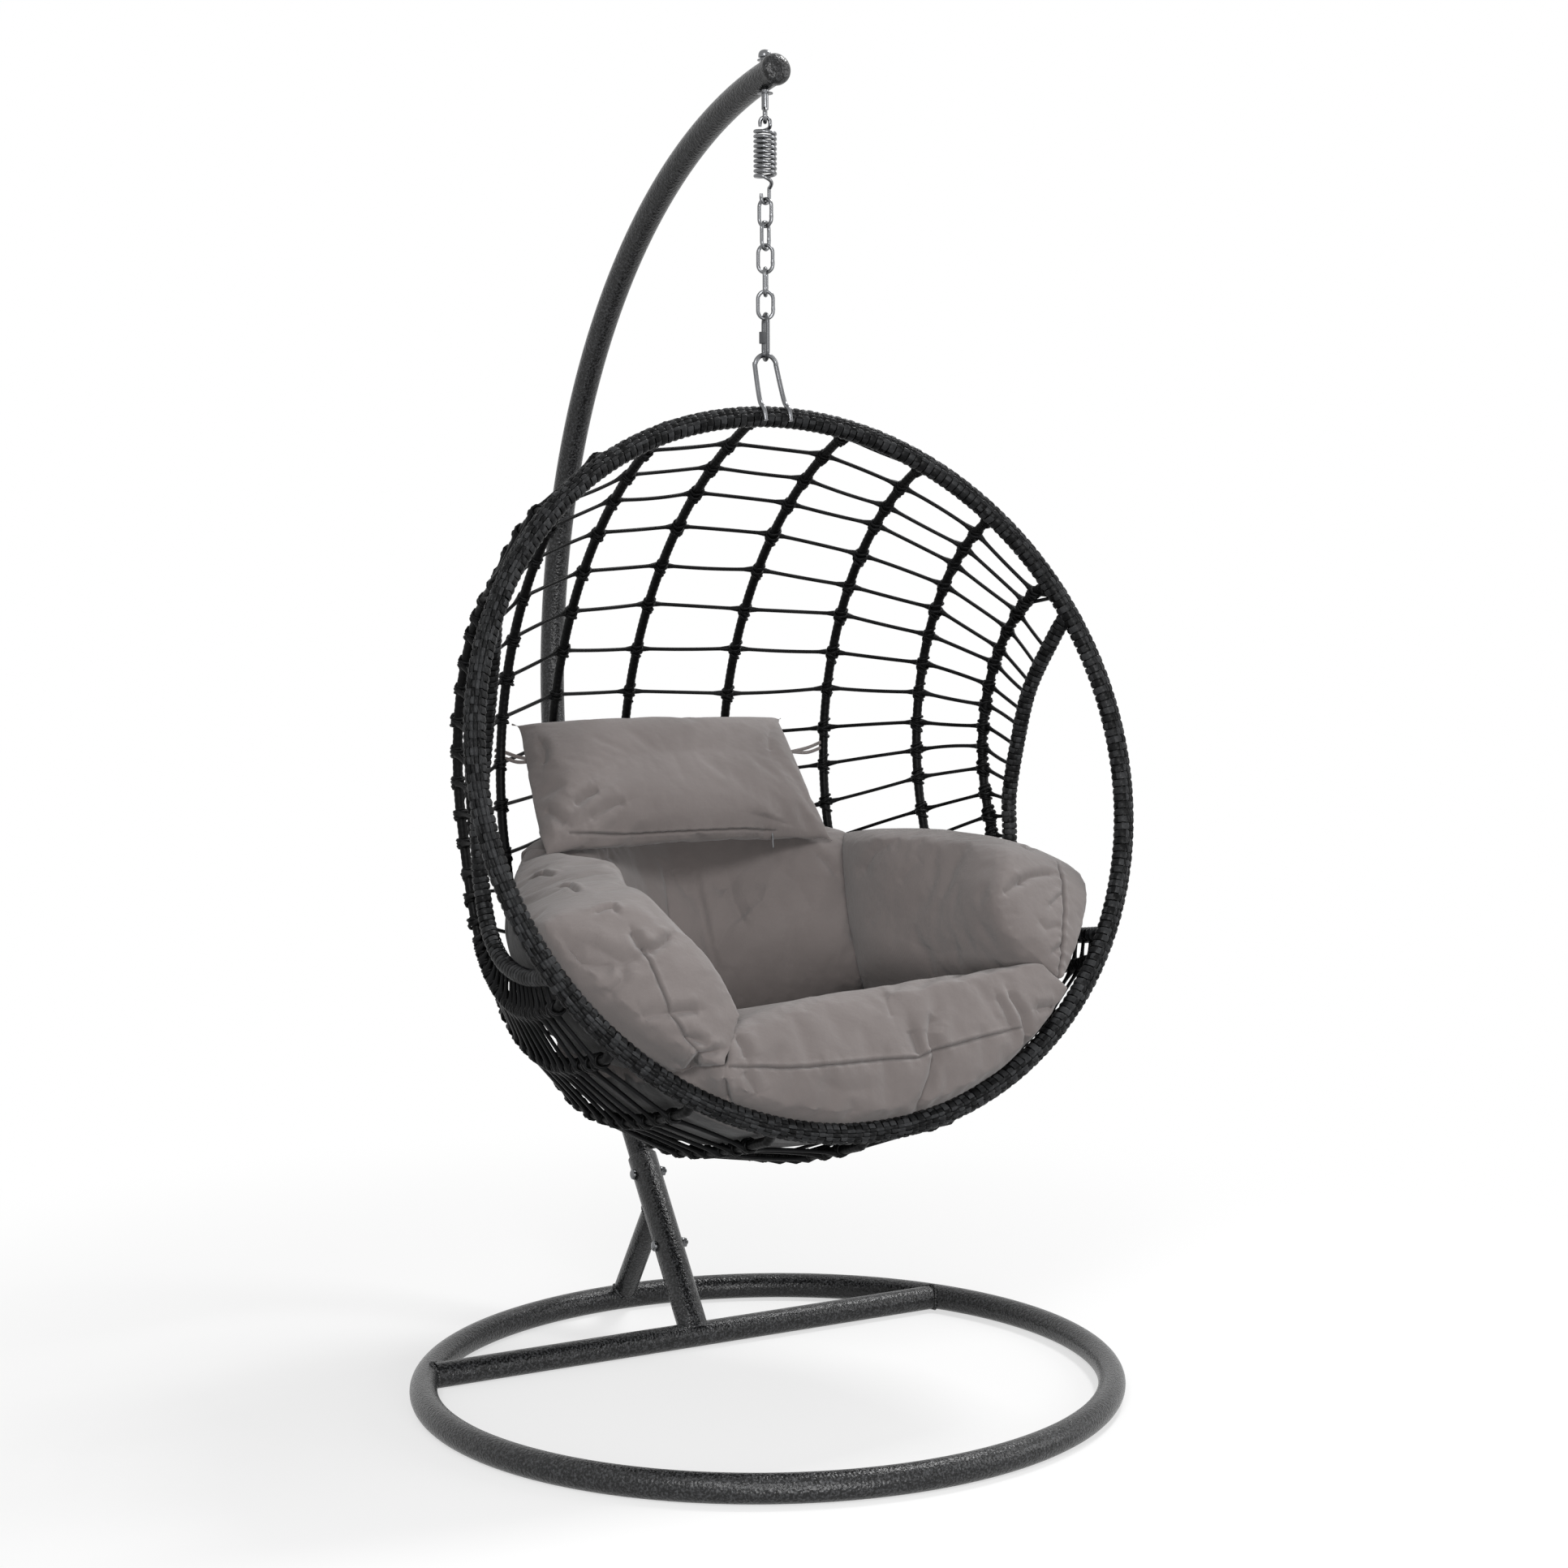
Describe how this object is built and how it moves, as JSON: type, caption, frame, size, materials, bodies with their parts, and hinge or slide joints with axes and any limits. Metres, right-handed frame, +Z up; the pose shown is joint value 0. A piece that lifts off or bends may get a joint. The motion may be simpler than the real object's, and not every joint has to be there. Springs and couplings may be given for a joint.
{
  "type": "hanging egg chair on a ring stand",
  "caption": "Cushioned egg-shaped basket chair hung by a spring and chain from a curved mast on a round floor ring.",
  "frame": {"origin": "on the floor, at the middle of the whole chair's footprint box", "axes": "+Z up, -Y the way the chair faces, +X to the right of someone looking at the chair from the front"},
  "size_m": [1.061, 1.315, 1.9475],
  "materials": {
    "coated_steel": "dark grey hammered powder coat",
    "zinc": "bright zinc plate",
    "rattan_steel": "steel hoop wrapped in flat black synthetic rattan",
    "rattan": "black synthetic rattan",
    "net": "black rattan strands knotted round the ribs",
    "canvas": "taupe grey canvas, stuffed"
  },
  "bodies": {
    "stand": {"base_crossbar": "coated_steel", "base_ring": "coated_steel", "eye_bolt": "zinc", "eye_bolt_nut": "zinc", "eye_bolt_washer": "zinc", "front_leg": "coated_steel", "leg_bolt_1": "zinc", "leg_bolt_2": "zinc", "leg_nut_1": "zinc", "leg_nut_2": "zinc", "mast": "coated_steel", "mast_end_cap": "coated_steel", "rear_leg": "coated_steel"},
    "spring": {"spring": "zinc"},
    "link_1": {"chain_link_1": "zinc"},
    "link_2": {"chain_link_2": "zinc"},
    "link_3": {"chain_link_3": "zinc"},
    "link_4": {"chain_link_4": "zinc"},
    "link_5": {"chain_link_5": "zinc"},
    "quick_link": {"quick_link": "zinc"},
    "quick_link_sleeve": {"quick_link_sleeve": "zinc"},
    "basket": {"basket_loop": "zinc", "cushion_arm_left": "canvas", "cushion_arm_right": "canvas", "cushion_back": "canvas", "cushion_seat": "canvas", "head_pillow": "canvas", "hoop": "rattan_steel", "net_panel_1": "net", "net_panel_10": "net", "net_panel_2": "net", "net_panel_3": "net", "net_panel_4": "net", "net_panel_5": "net", "net_panel_6": "net", "net_panel_7": "net", "net_panel_8": "net", "net_panel_9": "net", "pillow_tie_left": "canvas", "pillow_tie_right": "canvas", "rib_1": "rattan", "rib_2": "rattan", "rib_3": "rattan", "rib_4": "rattan", "rib_5": "rattan", "rib_6": "rattan", "rib_7": "rattan", "rib_8": "rattan", "rib_9": "rattan", "side_bar_left": "rattan", "side_bar_right": "rattan"}
  },
  "joints": [
    {"name": "swing_sideways", "type": "hinge", "parent": "stand", "child": "spring", "pos_m": [0, -0.1295, 1.8493], "axis": [0, 1, 0], "range_deg": [-16, 16]},
    {"name": "spring_stretch", "type": "slide", "parent": "spring", "child": "link_1", "axis": [0, 0, -1], "range_m": [0, 0.045], "stiffness_N_per_m": 20000, "springref_m": -0.03, "deforming": ["spring"]},
    {"name": "swing_fore_aft", "type": "hinge", "parent": "link_1", "child": "link_2", "pos_m": [0, -0.1295, 1.7009], "axis": [1, 0, 0], "range_deg": [-25, 7]},
    {"name": "turn_link_3", "type": "hinge", "parent": "link_2", "child": "link_3", "pos_m": [0, -0.1295, 1.6681], "axis": [0, 0, 1], "range_deg": [-20, 20]},
    {"name": "turn_link_4", "type": "hinge", "parent": "link_3", "child": "link_4", "pos_m": [0, -0.1295, 1.6353], "axis": [0, 0, 1], "range_deg": [-20, 20]},
    {"name": "turn_link_5", "type": "hinge", "parent": "link_4", "child": "link_5", "pos_m": [0, -0.1295, 1.6025], "axis": [0, 0, 1], "range_deg": [-20, 20]},
    {"name": "turn_quick_link", "type": "hinge", "parent": "link_5", "child": "quick_link", "pos_m": [0, -0.1295, 1.5697], "axis": [0, 0, 1], "range_deg": [-20, 20]},
    {"name": "quick_link_sleeve_turn", "type": "hinge", "parent": "quick_link", "child": "quick_link_sleeve", "pos_m": [0.00386, -0.11604, 1.5405], "axis": [0, 0, 1], "continuous": true},
    {"name": "basket_pitch", "type": "hinge", "parent": "quick_link", "child": "basket", "pos_m": [0, -0.1295, 1.5151], "axis": [1, 0, 0], "range_deg": [-8, 3]}
  ]
}
